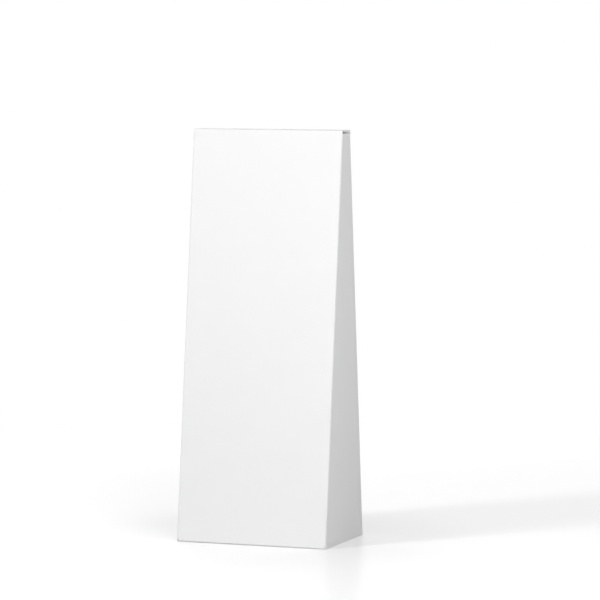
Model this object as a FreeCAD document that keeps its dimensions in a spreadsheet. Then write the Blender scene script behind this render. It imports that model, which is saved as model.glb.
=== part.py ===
# Cardboard display stand: a tall wedge-shaped totem folded from one sheet of corrugated board.
#
# The front panel leans back and the back panel leans forward, so that the depth tapers from the
# base to the top while the width stays the same. The sheet runs round four upright creases and
# overlaps itself at the back left one, where a closing flap is glued inside the back panel.
# The lid folds back from the front panel over a dust flap from each side panel and tucks inside
# the back panel. The base panel folds back from the front panel between the side panels, whose
# raw lower edges stand on the floor, and tucks up inside the back panel.
#
# Millimetres. X is to the right, Y to the back and Z up, with the origin on the floor at the
# middle of the base.
import os

import FreeCAD
import Part
import Sketcher

doc = FreeCAD.newDocument("display_stand")


# Driving dimensions

DIMENSIONS = (
    ("height", 1430, "floor to the top of the lid"),
    ("base_width", 550, "over the side panels"),
    ("base_depth", 395, "over the front and back panels at the floor"),
    ("top_depth", 82, "over the front and back panels at the top"),
    ("board", 5, "thickness of the corrugated board"),
    ("fold_inside", 1, "radius on the inside of every fold"),
    ("lid_inset", 0.5, "each end of the lid short of the side panel's outer face"),
    ("lid_end_round", 4, "radius that the die presses along the outer edge of each end of the lid"),
    ("lid_gap", 5.5, "slit between the lid and the dust flaps, dark from the side"),
    ("lid_tuck", 45, "lid's tuck flap, down from the top"),
    ("tuck_play", 0.5, "a tuck flap to the back panel that it slides behind"),
    ("tuck_relief", 8, "each end of the lid's tuck flap to the side panel's inner face"),
    ("tuck_corner", 25, "radius of the tuck flaps' free corners"),
    ("base_play", 1.5, "each end of the base panel to the side panel's inner face"),
    ("base_tuck", 60, "base panel's tuck flap, up from the floor"),
    ("base_slit", 12, "height of the slits beside the base panel's fold"),
    ("dust_reach", 110, "dust flap, in from the side panel's outer face"),
    ("dust_taper_long", 85, "length of the slanted cut along a dust flap's side"),
    ("dust_taper_short", 14, "width taken off a dust flap's free end by each slanted cut"),
    ("seam_inset", 1, "raw end of the back panel short of the left side panel's outer face"),
    ("closing_reach", 45, "closing flap, in from the left side panel's outer face"),
    ("closing_clear", 10, "each end of the closing flap to the nearest tuck flap's edge"),
    ("closing_root", 40, "width of the left side panel that is laid out with the closing flap"),
    ("closing_taper", 20, "length of the slanted cut at each end of the closing flap"),
)

sizes = doc.addObject("Spreadsheet::Sheet", "sizes")
for row, (alias, value, meaning) in enumerate(DIMENSIONS, start=1):
    sizes.set(f"A{row}", str(value))
    sizes.setAlias(f"A{row}", alias)
    sizes.set(f"B{row}", meaning)
doc.recompute()


def size(expression):
    """Return the number that an expression in the sheet's aliases gives."""
    return float(sizes.evalExpression(expression))


# Lines of the folded sheet, as expressions of the height above the floor

FOLD_OUTSIDE = "(sizes.board + sizes.fold_inside)"
LEAN = "((sizes.base_depth - sizes.top_depth) / 2 / sizes.height)"
SECANT = f"sqrt(1 + {LEAN}^2)"
LEVEL_BOARD = f"(sizes.board * {SECANT})"
HALF_WIDTH = "(sizes.base_width / 2)"
DUST_TOP = "(sizes.height - sizes.board - sizes.lid_gap)"
WALL_TOP = f"({DUST_TOP} - {FOLD_OUTSIDE})"
LID_UNDER = "(sizes.height - sizes.board)"
LID_END = f"({HALF_WIDTH} - sizes.lid_inset)"
LID_TUCK_LOW = "(sizes.height - sizes.lid_tuck)"
INNER_HALF = f"({HALF_WIDTH} - sizes.board)"
BASE_END = f"({INNER_HALF} - sizes.base_play)"
TUCK_END = f"({INNER_HALF} - sizes.tuck_relief)"
WALL_MIDDLE = f"({WALL_TOP} / 2)"
CLOSING_TIP = f"(-{HALF_WIDTH} + sizes.closing_reach)"
CLOSING_HINGE = f"(-{HALF_WIDTH} + {FOLD_OUTSIDE} + sizes.board)"
CLOSING_TOP = "(sizes.height - sizes.lid_tuck - sizes.closing_clear)"
CLOSING_LOW = "(sizes.base_tuck + sizes.closing_clear)"


def front_outer(level):
    """Y of the front panel's outer face at a level."""
    return f"(-sizes.base_depth / 2 + ({level}) * {LEAN})"


def front_inner(level):
    """Y of the front panel's inner face at a level."""
    return f"({front_outer(level)} + {LEVEL_BOARD})"


def back_outer(level):
    """Y of the back panel's outer face at a level."""
    return f"(sizes.base_depth / 2 - ({level}) * {LEAN})"


def back_inner(level):
    """Y of the back panel's inner face at a level."""
    return f"({back_outer(level)} - {LEVEL_BOARD})"


def tuck_outer(level):
    """Y of the face that a tuck flap turns to the back panel, at a level."""
    return f"({back_inner(level)} - sizes.tuck_play * {SECANT})"


def tuck_inner(level):
    """Y of a tuck flap's inner face at a level."""
    return f"({tuck_outer(level)} - {LEVEL_BOARD})"


def closing_line(level):
    """Y of the line where the closing flap's strip joins the left side panel, at a level."""
    return f"({back_inner(level)} - sizes.closing_root)"


def closing_inner(level):
    """Y of the closing flap's inner face, at a level."""
    return f"({back_inner(level)} - {LEVEL_BOARD})"


# The folds' centres at the top, which the dust flaps reach to
FOLD_LEVEL = f"(sizes.height - {FOLD_OUTSIDE})"
FRONT_FOLD_Y = f"({front_inner(FOLD_LEVEL)} + sizes.fold_inside * {SECANT})"
BACK_FOLD_Y = f"({tuck_inner(FOLD_LEVEL)} - sizes.fold_inside * {SECANT})"


# Sketches and features

def outline(body, name, plane_role, corners, offset=None):
    """Draw a closed outline of straight lines on one of a body's origin planes.

    Each corner is a pair of expressions, across and up, that stay bound to the sheet. The offset
    is an expression too, along the plane's normal.
    """
    sketch = body.newObject("Sketcher::SketchObject", name)
    plane = next(item for item in body.Origin.OriginFeatures if item.Role == plane_role)
    sketch.AttachmentSupport = (plane, [""])
    sketch.MapMode = "FlatFace"
    if offset is not None:
        sketch.setExpression(".AttachmentOffset.Base.z", offset)
    points = [FreeCAD.Vector(size(across), size(up), 0) for across, up in corners]
    following = points[1:] + points[:1]
    sketch.addGeometry([Part.LineSegment(*pair) for pair in zip(points, following)], False)
    for index, corner in enumerate(corners):
        after = (index + 1) % len(corners)
        sketch.addConstraint(Sketcher.Constraint("Coincident", index, 2, after, 1))
        for kind, expression in zip(("DistanceX", "DistanceY"), corner):
            constraint = Sketcher.Constraint(kind, -1, 1, index, 1, size(expression))
            sketch.setExpression(f"Constraints[{sketch.addConstraint(constraint)}]", expression)
    return sketch


def pad(sketch, length, side="Symmetric"):
    """Pad a sketch by an expression, to both sides or along its normal ("One side")."""
    body = sketch.getParentGeoFeatureGroup()
    feature = body.newObject("PartDesign::Pad", f"{sketch.Name}_pad")
    feature.Profile = sketch
    feature.SideType = side
    feature.setExpression("Length", length)
    doc.recompute()


def pocket(sketch, length, side="Symmetric", along_normal=True):
    """Cut a sketch out of its body by an expression, and stop if nothing was cut."""
    body = sketch.getParentGeoFeatureGroup()
    volume = body.Shape.Volume
    feature = body.newObject("PartDesign::Pocket", f"{sketch.Name}_pocket")
    feature.Profile = sketch
    feature.SideType = side
    feature.Reversed = along_normal
    feature.setExpression("Length", length)
    doc.recompute()
    if body.Shape.Volume >= volume:
        raise RuntimeError(f"{feature.Name} cuts nothing")


def round_edges(body, name, radius, middles):
    """Round the edges whose middles lie nearest to the given points, each three expressions."""
    base = body.Tip
    edges = base.Shape.Edges
    names = []
    for middle in middles:
        point = FreeCAD.Vector(*[size(expression) for expression in middle])
        distances = [edge.CenterOfMass.distanceToPoint(point) for edge in edges]
        names.append(f"Edge{distances.index(min(distances)) + 1}")
    feature = body.newObject("PartDesign::Fillet", name)
    feature.Base = (base, names)
    feature.setExpression("Radius", radius)
    doc.recompute()


def round_folds(body, name, outside, inside):
    """Round a fold line's outer and inner edges about one axis, so that the board keeps its
    thickness round the fold."""
    round_edges(body, f"{name}_outside", FOLD_OUTSIDE, outside)
    round_edges(body, f"{name}_inside", "sizes.fold_inside", inside)


def new_body(name):
    """Add an empty body."""
    return doc.addObject("PartDesign::Body", name)


def leaning_strip(near, far, low, high):
    """Corners of a strip between two leaning lines of the side view, from one level to another."""
    return [(near(low), low), (far(low), low), (far(high), high), (near(high), high)]


def trim_tuck_flap(body, name, low, high, end):
    """Cut a tuck flap to its own width, narrower than the panel that it folds from."""
    for side, sign in (("right", ""), ("left", "-")):
        near = f"{sign}{TUCK_END}"
        far = f"{sign}{end}"
        strip = [(near, low), (far, low), (far, high), (near, high)]
        pocket(outline(body, f"{name}_{side}", "XZ_Plane", strip), "sizes.base_depth", "One side",
               along_normal=False)


def round_tuck_corners(body, name, level, length):
    """Round a tuck flap's two free corners."""
    middle = f"(({tuck_outer(level)} + {tuck_inner(level)}) / 2)"
    round_edges(body, name, f"min(sizes.tuck_corner; {length} / 2)",
                [(TUCK_END, middle, level), (f"-{TUCK_END}", middle, level)])


# The four panels, from the floor to where the flaps fold in at the top

wrap = new_body("wrap")
pad(outline(wrap, "side_outline", "YZ_Plane", leaning_strip(front_outer, back_outer, "0", WALL_TOP)),
    "sizes.base_width")
round_edges(wrap, "creases_outside", FOLD_OUTSIDE, [
    (HALF_WIDTH, front_outer(WALL_MIDDLE), WALL_MIDDLE),
    (f"-{HALF_WIDTH}", front_outer(WALL_MIDDLE), WALL_MIDDLE),
    (HALF_WIDTH, back_outer(WALL_MIDDLE), WALL_MIDDLE),
])
pocket(outline(wrap, "inside_outline", "YZ_Plane", leaning_strip(front_inner, back_inner, "0", WALL_TOP)),
       f"2 * {INNER_HALF}")
round_edges(wrap, "creases_inside", "sizes.fold_inside", [
    (INNER_HALF, front_inner(WALL_MIDDLE), WALL_MIDDLE),
    (f"-{INNER_HALF}", front_inner(WALL_MIDDLE), WALL_MIDDLE),
    (INNER_HALF, back_inner(WALL_MIDDLE), WALL_MIDDLE),
])

# The base panel's fold is cut free of the side panels
pocket(outline(wrap, "base_slits", "XZ_Plane", [
    (f"-{INNER_HALF}", "0"), (INNER_HALF, "0"),
    (INNER_HALF, "sizes.base_slit"), (f"-{INNER_HALF}", "sizes.base_slit")]),
    "sizes.base_depth", "One side")


# At the back left crease the back panel ends in a raw edge over the closing flap's fold
pocket(outline(wrap, "closing_strip_gap", "YZ_Plane",
               leaning_strip(closing_line, back_inner, "0", WALL_TOP), f"-{HALF_WIDTH}"),
       "sizes.board", "One side")
pocket(outline(wrap, "seam_edge", "YZ_Plane",
               leaning_strip(back_inner, back_outer, "0", WALL_TOP), f"-{HALF_WIDTH}"),
       "sizes.seam_inset", "One side")


# The left side panel's back strip and the closing flap, glued to the back panel's inner face

closing = new_body("closing")
pad(outline(closing, "closing_outline", "YZ_Plane",
            leaning_strip(closing_line, back_inner, "0", WALL_TOP), f"-{HALF_WIDTH}"),
    "sizes.closing_reach", "One side")


round_edges(closing, "closing_fold_outside", FOLD_OUTSIDE,
            [(f"-{HALF_WIDTH}", back_inner(WALL_MIDDLE), WALL_MIDDLE)])
pocket(outline(closing, "closing_inside", "YZ_Plane",
               leaning_strip(closing_line, closing_inner, "0", WALL_TOP), f"-{INNER_HALF}"),
       "sizes.closing_reach", "One side")
round_edges(closing, "closing_fold_inside", "sizes.fold_inside",
            [(f"-{INNER_HALF}", closing_inner(WALL_MIDDLE), WALL_MIDDLE)])

# Its flat part stops short of both tuck flaps, with slanted ends
for name, end, edge, tip in (
        ("closing_top", WALL_TOP, CLOSING_TOP, f"({CLOSING_TOP} - sizes.closing_taper)"),
        ("closing_low", "0", CLOSING_LOW, f"({CLOSING_LOW} + sizes.closing_taper)")):
    pocket(outline(closing, name, "XZ_Plane", [
        (CLOSING_HINGE, end), (CLOSING_TIP, end), (CLOSING_TIP, tip), (CLOSING_HINGE, edge)]),
        "2 * sizes.base_depth")


# The back panel's top edge, raw, behind the lid's tuck flap

lip = new_body("back_lip")
pad(outline(lip, "lip_outline", "YZ_Plane",
            leaning_strip(back_inner, back_outer, WALL_TOP, "sizes.height")), f"2 * {LID_END}")


# The lid, folded back from the front panel and tucked inside the back panel

lid = new_body("lid")
pad(outline(lid, "lid_outline", "YZ_Plane", [
    (front_outer(WALL_TOP), WALL_TOP),
    (front_outer("sizes.height"), "sizes.height"),
    (tuck_outer("sizes.height"), "sizes.height"),
    (tuck_outer(LID_TUCK_LOW), LID_TUCK_LOW),
    (tuck_inner(LID_TUCK_LOW), LID_TUCK_LOW),
    (tuck_inner(LID_UNDER), LID_UNDER),
    (front_inner(LID_UNDER), LID_UNDER),
    (front_inner(WALL_TOP), WALL_TOP),
]), f"2 * {LID_END}")
round_folds(lid, "lid_folds",
            [("0", front_outer("sizes.height"), "sizes.height"),
             ("0", tuck_outer("sizes.height"), "sizes.height")],
            [("0", front_inner(LID_UNDER), LID_UNDER), ("0", tuck_inner(LID_UNDER), LID_UNDER)])

# The die leaves its ends round along their outer edge, all the way round both folds
round_edges(lid, "lid_ends", "sizes.lid_end_round",
            [(LID_END, "0", "sizes.height"), (f"-{LID_END}", "0", "sizes.height")])

# Its tuck flap is narrower, with two round corners
trim_tuck_flap(lid, "lid_tuck_end", LID_TUCK_LOW, LID_UNDER, LID_END)
round_tuck_corners(lid, "lid_tuck_corners", LID_TUCK_LOW, "sizes.lid_tuck")


# A dust flap from each side panel, under the lid

dust_flaps = []
DUST_ROOT = f"({WALL_TOP} - sizes.board)"
DUST_UNDER = f"({DUST_TOP} - sizes.board)"
DUST_MIDDLE = f"(({FRONT_FOLD_Y} + {BACK_FOLD_Y}) / 2)"
for side, sign in (("right", ""), ("left", "-")):
    dust = new_body(f"dust_flap_{side}")
    dust_flaps.append(dust)
    outer = f"{sign}{HALF_WIDTH}"
    inner = f"{sign}{INNER_HALF}"
    tip = f"{sign}({HALF_WIDTH} - sizes.dust_reach)"
    pad(outline(dust, f"dust_outline_{side}", "XZ_Plane", [
        (outer, DUST_ROOT), (outer, DUST_TOP), (tip, DUST_TOP),
        (tip, DUST_UNDER), (inner, DUST_UNDER), (inner, DUST_ROOT)],
        f"-{BACK_FOLD_Y}"), f"{BACK_FOLD_Y} - {FRONT_FOLD_Y}", "One side")
    round_folds(dust, f"dust_fold_{side}",
                [(outer, DUST_MIDDLE, DUST_TOP)], [(inner, DUST_MIDDLE, DUST_UNDER)])
    taper_start = f"{sign}({HALF_WIDTH} - sizes.dust_reach + sizes.dust_taper_long)"
    for edge, y_edge, y_tip in (
            ("front", FRONT_FOLD_Y, f"({FRONT_FOLD_Y} + sizes.dust_taper_short)"),
            ("back", BACK_FOLD_Y, f"({BACK_FOLD_Y} - sizes.dust_taper_short)")):
        pocket(outline(dust, f"dust_taper_{side}_{edge}", "XY_Plane", [
            (taper_start, y_edge), (tip, y_edge), (tip, y_tip)]), "sizes.height", "One side")


# The base panel, folded back from the front panel and tucked up inside the back panel

base = new_body("base")
pad(outline(base, "base_outline", "YZ_Plane", [
    (front_outer("sizes.base_slit"), "sizes.base_slit"),
    (front_outer("0"), "0"),
    (tuck_outer("0"), "0"),
    (tuck_outer("sizes.base_tuck"), "sizes.base_tuck"),
    (tuck_inner("sizes.base_tuck"), "sizes.base_tuck"),
    (tuck_inner("sizes.board"), "sizes.board"),
    (front_inner("sizes.board"), "sizes.board"),
    (front_inner("sizes.base_slit"), "sizes.base_slit"),
]), f"2 * {BASE_END}")
round_folds(base, "base_folds",
            [("0", front_outer("0"), "0"), ("0", tuck_outer("0"), "0")],
            [("0", front_inner("sizes.board"), "sizes.board"),
             ("0", tuck_inner("sizes.board"), "sizes.board")])
trim_tuck_flap(base, "base_tuck_end", "sizes.board", "sizes.base_tuck", BASE_END)
round_tuck_corners(base, "base_tuck_corners", "sizes.base_tuck", "sizes.base_tuck")


# The whole sheet, one piece of board

sheet = doc.addObject("Part::MultiFuse", "folded_sheet")
sheet.Label = "folded_sheet"
sheet.Shapes = [wrap, closing, lip, lid, *dust_flaps, base]
sheet.Refine = True
sheet.Placement = FreeCAD.Placement(FreeCAD.Vector(0, 0, 0), FreeCAD.Rotation())
doc.recompute()

failed = [item.Name for item in doc.Objects if {"Invalid", "Error"} & set(item.State)]
if failed:
    raise RuntimeError(f"not built: {', '.join(failed)}")
if sheet.Shape.isNull() or not sheet.Shape.isValid() or len(sheet.Shape.Solids) != 1:
    raise RuntimeError(f"{sheet.Label} is not one valid solid")

os.makedirs("parts", exist_ok=True)
sheet.Shape.exportStep(f"parts/{sheet.Label}.step")
area = sheet.Shape.Volume / size("sizes.board")
print(f"{sheet.Label}: {len(sheet.Shape.Solids)} solid, {sheet.Shape.Volume:.0f} mm3, "
      f"{area / 1e6:.3f} m2 of board")
print(sheet.Shape.BoundBox)
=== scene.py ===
"""Cardboard display stand: a tall wedge-shaped totem folded from one sheet of white corrugated board.

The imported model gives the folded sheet, which is the whole stand. This scene gives it its coated
paper finish and stands it in a plain pale studio.

Metres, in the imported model's frame: X to the right, Y to the back and Z up, with the floor at Z 0.
"""
from __future__ import annotations

import logging
import math
from dataclasses import dataclass, field
from enum import Enum

import bpy
from mathutils import Matrix, Vector


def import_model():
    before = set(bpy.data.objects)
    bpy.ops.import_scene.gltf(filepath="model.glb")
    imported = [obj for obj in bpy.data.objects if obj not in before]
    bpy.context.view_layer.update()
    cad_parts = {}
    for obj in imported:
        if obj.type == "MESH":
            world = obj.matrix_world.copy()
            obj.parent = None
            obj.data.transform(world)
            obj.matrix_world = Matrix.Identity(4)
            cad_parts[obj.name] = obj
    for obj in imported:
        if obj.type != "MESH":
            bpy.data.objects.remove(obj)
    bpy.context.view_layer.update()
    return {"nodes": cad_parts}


LOG = logging.getLogger("display_stand")
SHEET_NODE = "folded_sheet"
TURN = 2 * math.pi
WHITE = (1.0, 1.0, 1.0, 1.0)
WHITE_STRENGTH = 1.0


class LampKind(Enum):
    """Blender's lamps that the studio uses."""

    SOFT_BOX = "AREA"
    FAR_WINDOW = "SUN"


class Ray(Enum):
    """Rays that the studio's white surroundings tell apart, by Blender's names."""

    CAMERA = "Is Camera Ray"
    GLOSSY = "Is Glossy Ray"
    TRANSMISSION = "Is Transmission Ray"


@dataclass(frozen=True)
class StandSizes:
    """The stand's sizes that its finish follows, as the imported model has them."""

    height: float = 1.430
    base_width: float = 0.550
    base_depth: float = 0.395
    top_depth: float = 0.082
    board: float = 0.005
    fold_inside: float = 0.001
    flute_pitch: float = 0.0066

    @property
    def lean(self) -> float:
        """Slope of the front and back panels, depth lost for each metre up."""
        return (self.base_depth - self.top_depth) / 2 / self.height

    @property
    def fold_outside(self) -> float:
        """Radius on the outside of every fold."""
        return self.board + self.fold_inside


@dataclass(frozen=True)
class Grain:
    """One noise texture: its scale, its detail and its roughness."""

    scale: float
    detail: float
    roughness: float = 0.5


class NodeBench:
    """Adds nodes to one shader tree and links them."""

    def __init__(self, tree: bpy.types.NodeTree) -> None:
        """Keep the tree, emptied.

        Args:
            tree: the shader tree of a material or of the world.
        """
        self.tree = tree
        self.tree.nodes.clear()

    def add(self, kind: str, inputs: dict | None = None, **settings: object) -> bpy.types.Node:
        """Add one node.

        Args:
            kind: the node's type name.
            inputs: sockets or values for its inputs, by name or number.
            settings: the node's own properties.

        Returns:
            The node.
        """
        node = self.tree.nodes.new(kind)
        for name, value in settings.items():
            setattr(node, name, value)
        for key, value in (inputs or {}).items():
            self.feed(node.inputs[key], value)
        return node

    def feed(self, socket: bpy.types.NodeSocket, value: object) -> None:
        """Link a socket to an input, or set the input's own value.

        Args:
            socket: the input.
            value: an output socket, a number or a tuple of numbers.
        """
        if isinstance(value, bpy.types.NodeSocket):
            self.tree.links.new(value, socket)
        else:
            socket.default_value = value

    def math(self, operation: str, *values: object, clamp: bool = False) -> bpy.types.NodeSocket:
        """Add one Math node and return its output.

        Args:
            operation: the Math node's operation.
            values: sockets or numbers.
            clamp: keep the result from 0 to 1.

        Returns:
            The node's output socket.
        """
        node = self.add("ShaderNodeMath", dict(enumerate(values)), operation=operation, use_clamp=clamp)
        return node.outputs[0]

    def highest(self, first: object, *others: object) -> object:
        """Return the highest of some values.

        Args:
            first: a socket or number.
            others: more of them.

        Returns:
            The result's socket, or the first value where it is the only one.
        """
        result = first
        for value in others:
            result = self.math("MAXIMUM", result, value)
        return result

    def ramp(self, value: object, low: float, high: float) -> bpy.types.NodeSocket:
        """Rise smoothly from 0 at one value to 1 at another.

        Args:
            value: the socket that is read.
            low: where the result is 0.
            high: where the result is 1, below or above low.

        Returns:
            The result's socket.
        """
        inputs = {"Value": value, "From Min": low, "From Max": high}
        node = self.add("ShaderNodeMapRange", inputs, interpolation_type="SMOOTHSTEP")
        return node.outputs["Result"]

    def noise(self, place: bpy.types.NodeSocket, grain: Grain) -> bpy.types.NodeSocket:
        """Add one noise texture.

        Args:
            place: the place on the surface.
            grain: the texture's scale, detail and roughness.

        Returns:
            The socket of its level, from 0 to 1.
        """
        node = self.add("ShaderNodeTexNoise", {
            "Vector": place,
            "Scale": grain.scale,
            "Detail": grain.detail,
            "Roughness": grain.roughness,
        })
        return node.outputs["Fac"]

    def split(self, vector: bpy.types.NodeSocket) -> list[bpy.types.NodeSocket]:
        """Return a vector's X, Y and Z sockets."""
        return list(self.add("ShaderNodeSeparateXYZ", {0: vector}).outputs)

    def object_place(self) -> bpy.types.NodeSocket:
        """Return the place in the object's own frame."""
        return self.add("ShaderNodeTexCoord").outputs["Object"]

    def any_ray(self, *kinds: Ray) -> bpy.types.NodeSocket:
        """Tell whether a ray is of one of the kinds named.

        Args:
            kinds: the kinds of ray.

        Returns:
            A socket that is 1 for such a ray and 0 for any other.
        """
        rays = self.add("ShaderNodeLightPath").outputs
        return self.highest(*(rays[kind.value] for kind in kinds))

    def blend_colour(self, share: object, first: object, second: object) -> bpy.types.NodeSocket:
        """Mix two colours.

        Args:
            share: how much of the second colour shows.
            first: the colour at 0.
            second: the colour at 1.

        Returns:
            The mixed colour's socket.
        """
        node = self.add("ShaderNodeMix", data_type="RGBA")
        self.feed(node.inputs["Factor"], share)
        self.feed(node.inputs["A"], first)
        self.feed(node.inputs["B"], second)
        return node.outputs["Result"]


def new_material(name: str) -> tuple[bpy.types.Material, NodeBench]:
    """Make an empty node material.

    Args:
        name: the material's name.

    Returns:
        The material and the bench that fills its tree.
    """
    material = bpy.data.materials.new(name)
    material.use_nodes = True
    return material, NodeBench(material.node_tree)


def grey(level: float) -> tuple[float, float, float, float]:
    """Return a neutral colour."""
    return (level, level, level, 1.0)


@dataclass(frozen=True)
class SheetSpot:
    """Sockets that say where a point lies on the sheet and which way the sheet faces there."""

    place: bpy.types.NodeSocket
    facing: bpy.types.NodeSocket
    x: bpy.types.NodeSocket
    y: bpy.types.NodeSocket
    z: bpy.types.NodeSocket

    @classmethod
    def read(cls, bench: NodeBench) -> SheetSpot:
        """Read the spot in a tree.

        Args:
            bench: the tree that is filled.

        Returns:
            The spot.
        """
        place = bench.object_place()
        facing = bench.add("ShaderNodeNewGeometry").outputs["Normal"]
        return cls(place, facing, *bench.split(place))


@dataclass(frozen=True)
class FluteWave:
    """Upright flutes that show through the liner, across X or, on the side panels, across Y."""

    side_facing: float = 0.7

    def draw(self, bench: NodeBench, spot: SheetSpot, sizes: StandSizes) -> bpy.types.NodeSocket:
        """Draw the wave of the flutes.

        Args:
            bench: the tree that is filled.
            spot: the place on the sheet.
            sizes: the stand's sizes.

        Returns:
            A wave from -1 to 1.
        """
        sideways = bench.split(spot.facing)[0]
        on_side = bench.math("GREATER_THAN", bench.math("ABSOLUTE", sideways), self.side_facing)
        across_side = bench.math("MULTIPLY", spot.y, on_side)
        on_front = bench.math("SUBTRACT", 1.0, on_side)
        across = bench.math("MULTIPLY_ADD", spot.x, on_front, across_side)
        return bench.math("SINE", bench.math("MULTIPLY", across, TURN / sizes.flute_pitch))


@dataclass(frozen=True)
class FoldWear:
    """Fine cracks and scuffs in the coating along the folds.

    A fold's limits are the distances at which its wear ends and is full, as shares of its radius.
    """

    scuffs: Grain = Grain(160.0, 6.0, 0.7)
    scuff_limits: tuple[float, float] = (0.5, 0.72)
    fold_limits: tuple[float, float] = (1.0, 0.3)
    lid_limits: tuple[float, float] = (1.1, 0.4)

    def draw(self, bench: NodeBench, spot: SheetSpot, sizes: StandSizes) -> bpy.types.NodeSocket:
        """Find the worn spots along the creases, the lid's folds and the base panel's fold.

        Args:
            bench: the tree that is filled.
            spot: the place on the sheet.
            sizes: the stand's sizes.

        Returns:
            How worn the paper is, from 0 to 1.
        """
        half_depth = bench.math("MULTIPLY_ADD", spot.z, -sizes.lean, sizes.base_depth / 2)
        from_face = bench.math("SUBTRACT", half_depth, bench.math("ABSOLUTE", spot.y))
        from_side = bench.math("SUBTRACT", sizes.base_width / 2, bench.math("ABSOLUTE", spot.x))
        from_top = bench.math("SUBTRACT", sizes.height, spot.z)
        edges = ((from_side, self.fold_limits), (from_top, self.lid_limits), (spot.z, self.fold_limits))
        near_edge = bench.highest(*(self.near(bench, gap, sizes, limits) for gap, limits in edges))
        near_face = self.near(bench, from_face, sizes, self.fold_limits)
        folds = bench.math("MULTIPLY", near_face, near_edge)
        scuffed = bench.ramp(bench.noise(spot.place, self.scuffs), *self.scuff_limits)
        return bench.math("MULTIPLY", folds, scuffed, clamp=True)

    def near(
        self,
        bench: NodeBench,
        distance: bpy.types.NodeSocket,
        sizes: StandSizes,
        limits: tuple[float, float],
    ) -> bpy.types.NodeSocket:
        """Tell how near a surface is, on the scale of a fold.

        Args:
            bench: the tree that is filled.
            distance: the distance to the surface.
            sizes: the stand's sizes.
            limits: the shares of a fold's radius where the result is 0 and 1.

        Returns:
            The nearness, from 0 to 1.
        """
        return bench.ramp(distance, *(sizes.fold_outside * limit for limit in limits))


@dataclass(frozen=True)
class LinerRelief:
    """The liner's fine relief, as heights that a bump node reads."""

    depth: float = 0.00009
    strength: float = 0.35
    flute_height: float = 0.35
    fibre_height: float = 0.5
    worn_depth: float = 0.6

    def draw(
        self,
        bench: NodeBench,
        flute: bpy.types.NodeSocket,
        fibre: bpy.types.NodeSocket,
        worn: bpy.types.NodeSocket,
    ) -> bpy.types.NodeSocket:
        """Turn the relief into a normal.

        Args:
            bench: the tree that is filled.
            flute: the wave of the flutes.
            fibre: the level of the fibres.
            worn: how worn the paper is.

        Returns:
            The normal's socket.
        """
        fibres = bench.math("MULTIPLY", fibre, self.fibre_height)
        height = bench.math("MULTIPLY_ADD", flute, self.flute_height, fibres)
        height = bench.math("MULTIPLY_ADD", worn, -self.worn_depth, height)
        inputs = {"Strength": self.strength, "Distance": self.depth, "Height": height}
        return bench.add("ShaderNodeBump", inputs).outputs["Normal"]


@dataclass(frozen=True)
class WhiteLinerFinish:
    """Coated white paper liner: satin, with the flutes just showing through, in its relief and as a
    faint painted shade in its colour, and worn folds.
    """

    name: str = "white_coated_liner"
    white: float = 0.88
    mottled_and_flute_shaded: float = 0.875
    worn: float = 0.80
    roughness: float = 0.46
    fibre_roughness: float = 0.12
    worn_roughness: float = 0.15
    specular: float = 0.35
    fibres: Grain = Grain(850.0, 5.0, 0.65)
    mottle: Grain = Grain(14.0, 4.0)
    mottle_limits: tuple[float, float] = (0.3, 0.72)
    painted_flute_shade: float = 0.004
    flutes: FluteWave = FluteWave()
    wear: FoldWear = FoldWear()
    relief: LinerRelief = LinerRelief()

    def material(self, sizes: StandSizes) -> bpy.types.Material:
        """Build the finish.

        Args:
            sizes: the stand's sizes, for the places of its folds.

        Returns:
            The material.
        """
        material, bench = new_material(self.name)
        spot = SheetSpot.read(bench)
        flute = self.flutes.draw(bench, spot, sizes)
        fibre = bench.noise(spot.place, self.fibres)
        worn = self.wear.draw(bench, spot, sizes)
        # Painted shade: the flute wave faintly darkens the colour along the flutes, on top of the
        # paper's own random mottled tone.
        shade = bench.math("MULTIPLY_ADD", flute, self.painted_flute_shade, bench.noise(spot.place, self.mottle))
        mottled_and_flute_shaded = bench.ramp(shade, *self.mottle_limits)
        paper = bench.blend_colour(mottled_and_flute_shaded, grey(self.white), grey(self.mottled_and_flute_shaded))
        smoothest = self.roughness - self.fibre_roughness / 2
        roughness = bench.math("MULTIPLY_ADD", fibre, self.fibre_roughness, smoothest)
        shader = bench.add("ShaderNodeBsdfPrincipled", {
            "Base Color": bench.blend_colour(worn, paper, grey(self.worn)),
            "Roughness": bench.math("MULTIPLY_ADD", worn, self.worn_roughness, roughness),
            "Normal": self.relief.draw(bench, flute, fibre, worn),
            "Specular IOR Level": self.specular,
        })
        bench.add("ShaderNodeOutputMaterial", {"Surface": shader.outputs["BSDF"]})
        return material


@dataclass(frozen=True)
class FoldedSheet:
    """The whole folded board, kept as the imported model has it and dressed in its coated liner."""

    sizes: StandSizes
    finish: WhiteLinerFinish = WhiteLinerFinish()

    def dress(self, node: bpy.types.Object) -> bpy.types.Object:
        """Give the sheet its finish.

        Args:
            node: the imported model's object.

        Returns:
            The same object.
        """
        material = self.finish.material(self.sizes)
        for slot in node.material_slots:
            slot.material = material
        return node


def hang_lamp(name: str, kind: LampKind, power: float, place: Vector, aim: Vector) -> bpy.types.Light:
    """Add a lamp that the camera doesn't see.

    Args:
        name: the lamp's name.
        kind: the lamp's kind.
        power: its strength.
        place: where it hangs.
        aim: the direction that it shines in.

    Returns:
        The lamp's settings.
    """
    data = bpy.data.lights.new(name, kind.value)
    data.energy = power
    lamp = bpy.data.objects.new(name, data)
    bpy.context.scene.collection.objects.link(lamp)
    lamp.location = place
    lamp.rotation_euler = aim.to_track_quat("-Z", "Y").to_euler()
    lamp.visible_camera = False
    return data


@dataclass(frozen=True)
class SoftBox:
    """One square lamp of the studio, with a diffuser."""

    name: str
    location: tuple[float, float, float]
    width: float
    power: float
    target: tuple[float, float, float] = (0.0, 0.0, 0.8)

    def build(self) -> None:
        """Hang the lamp, turned to its target."""
        place = Vector(self.location)
        data = hang_lamp(self.name, LampKind.SOFT_BOX, self.power, place, Vector(self.target) - place)
        data.shape = "SQUARE"
        data.size = self.width


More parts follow.
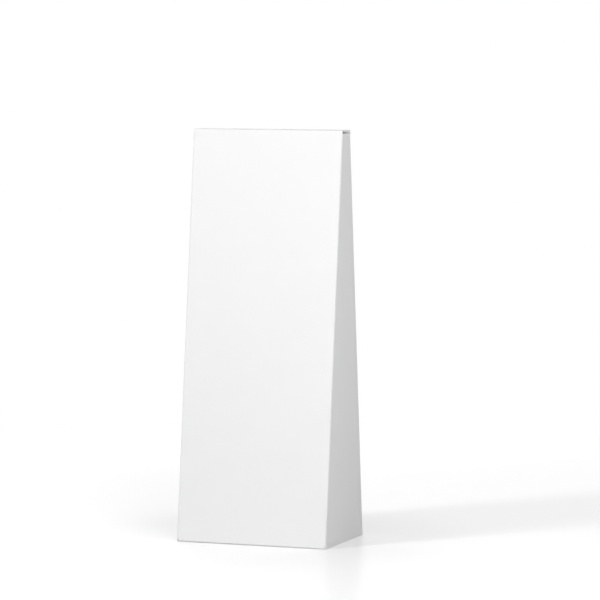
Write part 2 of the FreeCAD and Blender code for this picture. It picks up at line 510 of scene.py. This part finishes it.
@dataclass(frozen=True)
class WindowLight:
    """Distant light from one side, as from a far window, with its angles in degrees."""

    name: str
    azimuth: float
    elevation: float
    spread: float
    power: float
    distance: float = 6.0

    def build(self) -> None:
        """Hang the light, shining in its direction."""
        turn = math.radians(self.azimuth)
        rise = math.radians(self.elevation)
        level = math.cos(rise)
        toward = Vector((math.sin(turn) * level, -math.cos(turn) * level, math.sin(rise)))
        data = hang_lamp(self.name, LampKind.FAR_WINDOW, self.power, toward * self.distance, -toward)
        data.angle = math.radians(self.spread)


@dataclass(frozen=True)
class FloorFinish:
    """Pale satin studio floor that shows as white with a light shadow and a soft reflection.

    To the camera and in reflections it glows a little, as painted light: less at the stand's foot, where
    the lower glow is a painted shadow, and more towards the back. It goes over into plain white from
    fade_radius to clear_radius.
    """

    name: str = "studio_floor"
    pale: float = 0.68
    seen_pale: float = 0.95
    roughness: float = 0.28
    specular: float = 0.22
    painted_shade_foot_glow: float = 0.163
    open_glow: float = 0.233
    painted_glow_slope: float = 0.055
    foot_radius: float = 0.3
    open_radius: float = 0.9
    fade_radius: float = 2.2
    clear_radius: float = 3.6

    def material(self) -> bpy.types.Material:
        """Build the finish.

        Returns:
            The material.
        """
        material, bench = new_material(self.name)
        place = bench.object_place()
        seen = bench.any_ray(Ray.CAMERA, Ray.GLOSSY)
        distance = bench.add("ShaderNodeVectorMath", {0: place}, operation="LENGTH").outputs["Value"]
        satin = bench.add("ShaderNodeBsdfPrincipled", {
            "Base Color": bench.blend_colour(seen, grey(self.pale), grey(self.seen_pale)),
            "Roughness": self.roughness,
            "Specular IOR Level": self.specular,
        })
        glow = self.glow(bench, place, distance, seen)
        lifted = bench.add("ShaderNodeEmission", {"Color": WHITE, "Strength": glow})
        near = bench.add("ShaderNodeAddShader", {0: satin.outputs[0], 1: lifted.outputs[0]})
        white = bench.add("ShaderNodeEmission", {"Color": WHITE, "Strength": WHITE_STRENGTH})
        far = bench.ramp(distance, self.fade_radius, self.clear_radius)
        share = bench.math("MULTIPLY", far, seen)
        mixed = bench.add("ShaderNodeMixShader", {0: share, 1: near.outputs[0], 2: white.outputs[0]})
        bench.add("ShaderNodeOutputMaterial", {"Surface": mixed.outputs[0]})
        return material

    def glow(
        self,
        bench: NodeBench,
        place: bpy.types.NodeSocket,
        distance: bpy.types.NodeSocket,
        seen: bpy.types.NodeSocket,
    ) -> bpy.types.NodeSocket:
        """Find how much the floor glows, as painted light that is lower at the foot as painted shade and
        rises away from the foot and to the back.

        Args:
            bench: the tree that is filled.
            place: the place on the floor.
            distance: its distance from the floor's middle.
            seen: 1 for a ray that sees the glow, else 0.

        Returns:
            The glow's strength.
        """
        # Painted shade: the glow is lower near the stand's foot, a contact shadow painted into the
        # floor.
        opened = bench.ramp(distance, self.foot_radius, self.open_radius)
        glow = bench.math("MULTIPLY_ADD", opened, self.open_glow - self.painted_shade_foot_glow, self.painted_shade_foot_glow)
        # Painted light: the glow rises towards the back of the floor.
        glow = bench.math("MULTIPLY_ADD", bench.split(place)[1], self.painted_glow_slope, glow)
        return bench.math("MULTIPLY", glow, seen)


@dataclass(frozen=True)
class FittedCamera:
    """Camera at the place that was fitted to the stand's corners, with its angles in degrees.

    It looks past a point in the middle of the stand, shifted to the right and up.
    """

    name: str = "studio_camera"
    lens: float = 204.6
    sensor_width: float = 36.0
    clip_start: float = 0.1
    clip_end: float = 200.0
    turn: float = 19.92
    tilt: float = 4.21
    roll: float = 0.203
    distance: float = 11.891
    middle_height: float = 0.715
    shift_right: float = 0.1004
    shift_up: float = 0.1206

    def build(self) -> None:
        """Place the camera and make it the scene's own."""
        data = bpy.data.cameras.new(self.name)
        data.sensor_width = self.sensor_width
        data.lens = self.lens
        data.clip_start = self.clip_start
        data.clip_end = self.clip_end
        camera = bpy.data.objects.new(self.name, data)
        bpy.context.scene.collection.objects.link(camera)
        camera.matrix_world = self.matrix()
        bpy.context.scene.camera = camera

    def matrix(self) -> Matrix:
        """Work out the camera's place from its turn round the stand and its distance.

        Returns:
            The camera's matrix.
        """
        turn = math.radians(self.turn)
        tilt = math.radians(self.tilt)
        roll = math.radians(self.roll)
        level = math.cos(tilt)
        ahead = Vector((-math.sin(turn) * level, math.cos(turn) * level, -math.sin(tilt)))
        right = Vector((math.cos(turn), math.sin(turn), 0.0))
        up = right.cross(ahead)
        shift = right * self.shift_right + up * self.shift_up
        place = Vector((0.0, 0.0, self.middle_height)) - ahead * self.distance + shift
        rolled_right = right * math.cos(roll) + up * math.sin(roll)
        rolled_up = up * math.cos(roll) - right * math.sin(roll)
        columns = Matrix((rolled_right, rolled_up, -ahead)).transposed()
        return Matrix.Translation(place) @ columns.to_4x4()


@dataclass
class Studio:
    """Plain pale room: floor, world, lamps and the camera."""

    floor_name: str = "studio_floor"
    floor_size: float = 60.0
    floor_drop: float = 0.0002
    world_name: str = "studio_world"
    ambient: float = 0.125
    finish: FloorFinish = field(default_factory=FloorFinish)
    camera: FittedCamera = field(default_factory=FittedCamera)
    lamps: tuple[SoftBox | WindowLight, ...] = (
        WindowLight("low_front_left", azimuth=-35.0, elevation=22.0, spread=11.0, power=0.52),
        SoftBox("front_left", (-2.6, -3.4, 2.9), width=0.5, power=58.0),
        SoftBox("front_right", (2.0, -2.8, 1.8), width=1.5, power=43.0),
        SoftBox("right_fill", (4.5, -1.5, 2.5), width=2.4, power=47.0),
        SoftBox("overhead", (0.0, -0.8, 3.6), width=2.4, power=16.0),
        SoftBox("back_left_fill", (-3.4, 3.6, 3.0), width=3.0, power=50.0),
    )

    def build(self) -> None:
        """Build the floor, the world, the lamps and the camera."""
        bpy.context.scene.view_settings.view_transform = "Standard"
        self.lay_floor()
        self.fill_world()
        for lamp in self.lamps:
            lamp.build()
        self.camera.build()

    def lay_floor(self) -> None:
        """Lay the floor just under the stand."""
        bpy.ops.object.select_all(action="DESELECT")
        bpy.ops.mesh.primitive_plane_add(size=self.floor_size, location=(0, 0, -self.floor_drop))
        floor = bpy.context.object
        floor.name = self.floor_name
        bpy.ops.object.transform_apply(location=True, rotation=True, scale=True)
        floor.data.materials.append(self.finish.material())

    def fill_world(self) -> None:
        """Light the room evenly, and show it white to the camera and in reflections."""
        world = bpy.data.worlds.new(self.world_name)
        world.use_nodes = True
        bench = NodeBench(world.node_tree)
        seen = bench.any_ray(Ray.CAMERA, Ray.GLOSSY, Ray.TRANSMISSION)
        soft = bench.add("ShaderNodeBackground", {"Color": WHITE, "Strength": self.ambient})
        white = bench.add("ShaderNodeBackground", {"Color": WHITE, "Strength": WHITE_STRENGTH})
        mixed = bench.add("ShaderNodeMixShader", {0: seen, 1: soft.outputs[0], 2: white.outputs[0]})
        bench.add("ShaderNodeOutputWorld", {"Surface": mixed.outputs[0]})
        bpy.context.scene.world = world


def main() -> None:
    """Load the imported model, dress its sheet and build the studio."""
    logging.basicConfig(level=logging.INFO, format="%(name)s: %(message)s")
    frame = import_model()
    sheet = FoldedSheet(StandSizes()).dress(frame["nodes"][SHEET_NODE])
    LOG.info("dressed %s", sheet.name)
    Studio().build()
    LOG.info("built the studio")


if __name__ == "__main__":
    main()
